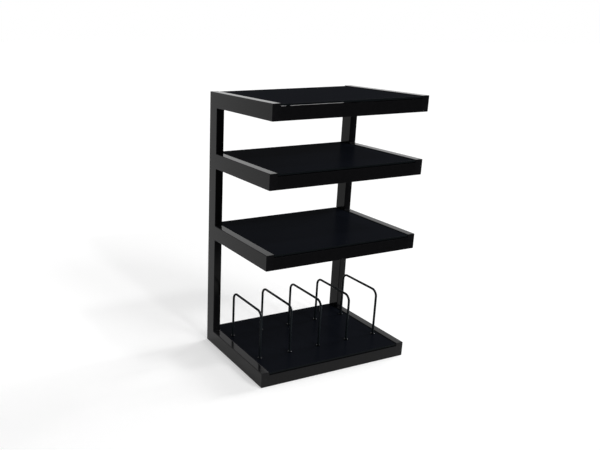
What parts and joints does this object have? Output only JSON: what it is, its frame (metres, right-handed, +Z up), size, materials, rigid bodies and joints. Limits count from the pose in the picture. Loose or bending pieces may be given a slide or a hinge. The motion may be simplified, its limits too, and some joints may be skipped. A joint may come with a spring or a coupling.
{
  "type": "hi-fi rack",
  "caption": "Open hi-fi rack with E-shaped black steel tube side frames, lift-out black glass shelves and plug-in wire record dividers on the base shelf.",
  "frame": {"origin": "on the floor, under the middle of the rack's width and depth", "axes": "+Z up, +X to the right as seen from the front, +Y to the back, so the front rails face -Y"},
  "size_m": [0.57, 0.395, 0.903],
  "materials": {
    "frame": "satin black powder coat",
    "shelves": "near-opaque black tinted glass, polished, ground arris",
    "pads": "matt black",
    "dividers": "satin black coated wire",
    "sockets": "bright turned steel",
    "glides": "matt black"
  },
  "bodies": {
    "frame": {"left_post": "frame", "right_post": "frame", "left_base_arm": "frame", "left_lower_arm": "frame", "left_upper_arm": "frame", "left_top_arm": "frame", "right_base_arm": "frame", "right_lower_arm": "frame", "right_upper_arm": "frame", "right_top_arm": "frame", "base_front_rail": "frame", "base_rear_rail": "frame", "lower_front_rail": "frame", "lower_rear_rail": "frame", "upper_front_rail": "frame", "upper_rear_rail": "frame", "top_front_rail": "frame", "top_rear_rail": "frame", "left_base_front_pad": "pads", "right_base_front_pad": "pads", "left_base_rear_pad": "pads", "right_base_rear_pad": "pads", "left_lower_front_pad": "pads", "right_lower_front_pad": "pads", "left_lower_rear_pad": "pads", "right_lower_rear_pad": "pads", "left_upper_front_pad": "pads", "right_upper_front_pad": "pads", "left_upper_rear_pad": "pads", "right_upper_rear_pad": "pads", "left_top_front_pad": "pads", "right_top_front_pad": "pads", "left_top_rear_pad": "pads", "right_top_rear_pad": "pads", "left_front_glide": "glides", "left_rear_glide": "glides", "right_front_glide": "glides", "right_rear_glide": "glides"},
    "base_shelf": {"base_glass": "shelves", "divider_1_front_socket": "sockets", "divider_1_rear_socket": "sockets", "divider_2_front_socket": "sockets", "divider_2_rear_socket": "sockets", "divider_3_front_socket": "sockets", "divider_3_rear_socket": "sockets", "divider_4_front_socket": "sockets", "divider_4_rear_socket": "sockets", "divider_5_front_socket": "sockets", "divider_5_rear_socket": "sockets"},
    "lower_shelf": {"lower_glass": "shelves"},
    "upper_shelf": {"upper_glass": "shelves"},
    "top_shelf": {"top_glass": "shelves"},
    "divider_wire_1": {"divider_1": "dividers"},
    "divider_wire_2": {"divider_2": "dividers"},
    "divider_wire_3": {"divider_3": "dividers"},
    "divider_wire_4": {"divider_4": "dividers"},
    "divider_wire_5": {"divider_5": "dividers"}
  },
  "joints": [
    {"name": "base_shelf_lift", "type": "slide", "parent": "frame", "child": "base_shelf", "axis": [0, 0, 1], "range_m": [0, 0.1]},
    {"name": "lower_shelf_lift", "type": "slide", "parent": "frame", "child": "lower_shelf", "axis": [0, 0, 1], "range_m": [0, 0.1]},
    {"name": "upper_shelf_lift", "type": "slide", "parent": "frame", "child": "upper_shelf", "axis": [0, 0, 1], "range_m": [0, 0.1]},
    {"name": "top_shelf_lift", "type": "slide", "parent": "frame", "child": "top_shelf", "axis": [0, 0, 1], "range_m": [0, 0.1]},
    {"name": "divider_1_pull", "type": "slide", "parent": "base_shelf", "child": "divider_wire_1", "axis": [0, 0, 1], "range_m": [0, 0.06]},
    {"name": "divider_2_pull", "type": "slide", "parent": "base_shelf", "child": "divider_wire_2", "axis": [0, 0, 1], "range_m": [0, 0.06]},
    {"name": "divider_3_pull", "type": "slide", "parent": "base_shelf", "child": "divider_wire_3", "axis": [0, 0, 1], "range_m": [0, 0.06]},
    {"name": "divider_4_pull", "type": "slide", "parent": "base_shelf", "child": "divider_wire_4", "axis": [0, 0, 1], "range_m": [0, 0.06]},
    {"name": "divider_5_pull", "type": "slide", "parent": "base_shelf", "child": "divider_wire_5", "axis": [0, 0, 1], "range_m": [0, 0.06]}
  ]
}
